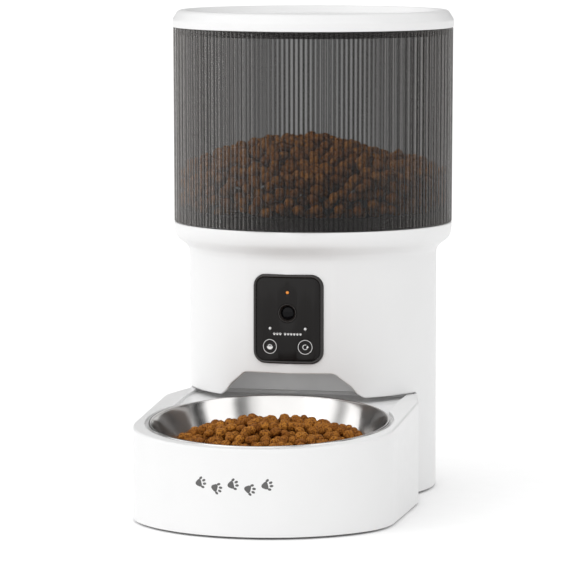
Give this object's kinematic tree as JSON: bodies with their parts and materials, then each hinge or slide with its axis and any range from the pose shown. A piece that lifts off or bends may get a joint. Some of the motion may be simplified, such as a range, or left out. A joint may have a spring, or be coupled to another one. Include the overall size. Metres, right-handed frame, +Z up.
{
  "type": "automatic pet feeder",
  "caption": "Camera pet feeder: ribbed smoked food tank with lid on a white tower, with a motor-driven food wheel and a pull-out tray holding a steel bowl.",
  "frame": {"origin": "on the floor under the middle of the feeder's bounding box", "axes": "+Z up, -Y is the front with the tray and the control panel, +X is the feeder's left hand side, on the viewer's right when facing the panel"},
  "size_m": [0.19, 0.3214, 0.324],
  "materials": {
    "white_plastic": "satin moulded white",
    "smoked_plastic": "clear smoked, vertically ribbed",
    "black_plastic": "matt moulded black",
    "panel_black": "gloss black",
    "stainless_steel": "fine spun satin",
    "machined_steel": "turned",
    "motor_zinc": "zinc plated",
    "silicone_rubber": "matt grey silicone",
    "nylon": "natural nylon",
    "brass_fitting": "machined",
    "circuit_board": "green solder mask",
    "lens_glass": "dark coated lens",
    "amber_led": "amber diffuser",
    "light_dot": "white diffuser",
    "pouch_fabric": "non-woven",
    "cell_wrap": "plain wrapped cell"
  },
  "bodies": {
    "tower": {"housing": "white_plastic", "top_deck": "white_plastic", "shaft_bush": "brass_fitting", "gearbox_case": "nylon", "gearbox_cover": "nylon", "idler_pin": "machined_steel", "motor": "motor_zinc", "food_chute": "white_plastic", "main_board": "circuit_board", "dc_socket": "black_plastic", "speaker": "black_plastic", "control_board": "circuit_board", "camera_module": "black_plastic", "feed_switch": "black_plastic", "reset_switch": "black_plastic", "panel_frame": "panel_black", "panel_face": "panel_black", "feed_indicator": "light_dot", "reset_indicator": "light_dot", "status_led": "amber_led", "camera_barrel": "panel_black", "camera_lens": "lens_glass", "base_plate": "black_plastic", "base_foot_1": "silicone_rubber", "base_foot_2": "silicone_rubber", "base_foot_3": "silicone_rubber", "base_foot_4": "silicone_rubber", "base_screw_1": "machined_steel", "base_screw_2": "machined_steel", "base_screw_3": "machined_steel", "base_screw_4": "machined_steel", "battery_box": "black_plastic", "battery_cell_1": "cell_wrap", "battery_cell_2": "cell_wrap", "battery_cell_3": "cell_wrap"},
    "lid": {"lid": "white_plastic", "lid_seal": "silicone_rubber"},
    "desiccant": {"desiccant_box": "white_plastic", "desiccant_pouch": "pouch_fabric"},
    "tank": {"tank": "smoked_plastic", "tank_base": "black_plastic", "outlet_shield": "black_plastic"},
    "food_wheel": {"wheel_hub": "nylon", "wheel_paddles": "silicone_rubber"},
    "drive_shaft": {"drive_shaft": "machined_steel", "drive_gear": "nylon"},
    "idler": {"idler_gear": "nylon"},
    "motor_pinion": {"motor_pinion": "brass_fitting"},
    "feed_button": {"feed_button": "black_plastic"},
    "reset_button": {"reset_button": "black_plastic"},
    "tray": {"tray": "white_plastic", "tray_floor": "black_plastic", "tray_foot_1": "silicone_rubber", "tray_foot_2": "silicone_rubber", "tray_foot_3": "silicone_rubber", "tray_foot_4": "silicone_rubber"},
    "bowl": {"bowl": "stainless_steel"},
    "battery_door": {"battery_door": "black_plastic"}
  },
  "joints": [
    {"name": "tank_lift", "type": "slide", "parent": "tower", "child": "tank", "axis": [0, 0, 1], "range_m": [0, 0.1]},
    {"name": "lid_lift", "type": "slide", "parent": "tank", "child": "lid", "axis": [0, 0, 1], "range_m": [0, 0.08]},
    {"name": "desiccant_twist", "type": "hinge", "parent": "lid", "child": "desiccant", "pos_m": [0, 0.0657, 0.312], "axis": [0, 0, 1], "range_deg": [0, 30]},
    {"name": "wheel_spin", "type": "hinge", "parent": "tank", "child": "food_wheel", "pos_m": [0, 0.0657, 0.17], "axis": [0, 0, 1], "continuous": true},
    {"name": "drive_spin", "type": "hinge", "parent": "tower", "child": "drive_shaft", "pos_m": [0, 0.0657, 0.145], "axis": [0, 0, 1], "continuous": true},
    {"name": "idler_spin", "type": "hinge", "parent": "tower", "child": "idler", "pos_m": [0, 0.0828, 0.14], "axis": [0, 0, 1], "continuous": true},
    {"name": "motor_spin", "type": "hinge", "parent": "tower", "child": "motor_pinion", "pos_m": [0, 0.0999, 0.136], "axis": [0, 0, 1], "continuous": true},
    {"name": "feed_press", "type": "slide", "parent": "tower", "child": "feed_button", "axis": [0.1418, 0.9899, 0], "range_m": [0, 0.0008], "stiffness_N_per_m": 2000},
    {"name": "reset_press", "type": "slide", "parent": "tower", "child": "reset_button", "axis": [-0.1418, 0.9899, 0], "range_m": [0, 0.0008], "stiffness_N_per_m": 2000},
    {"name": "tray_slide", "type": "slide", "parent": "tower", "child": "tray", "axis": [0, -1, 0], "range_m": [0, 0.1]},
    {"name": "bowl_lift", "type": "slide", "parent": "tray", "child": "bowl", "axis": [0, -0.075, 0.9972], "range_m": [0, 0.008]},
    {"name": "battery_door_pull", "type": "slide", "parent": "tower", "child": "battery_door", "axis": [0, 0, -1], "range_m": [0, 0.03]}
  ],
  "couplings": [
    {"joint": "drive_spin", "follows": "wheel_spin", "ratio": 1},
    {"joint": "idler_spin", "follows": "wheel_spin", "ratio": -2.8},
    {"joint": "motor_spin", "follows": "wheel_spin", "ratio": 7.84}
  ]
}
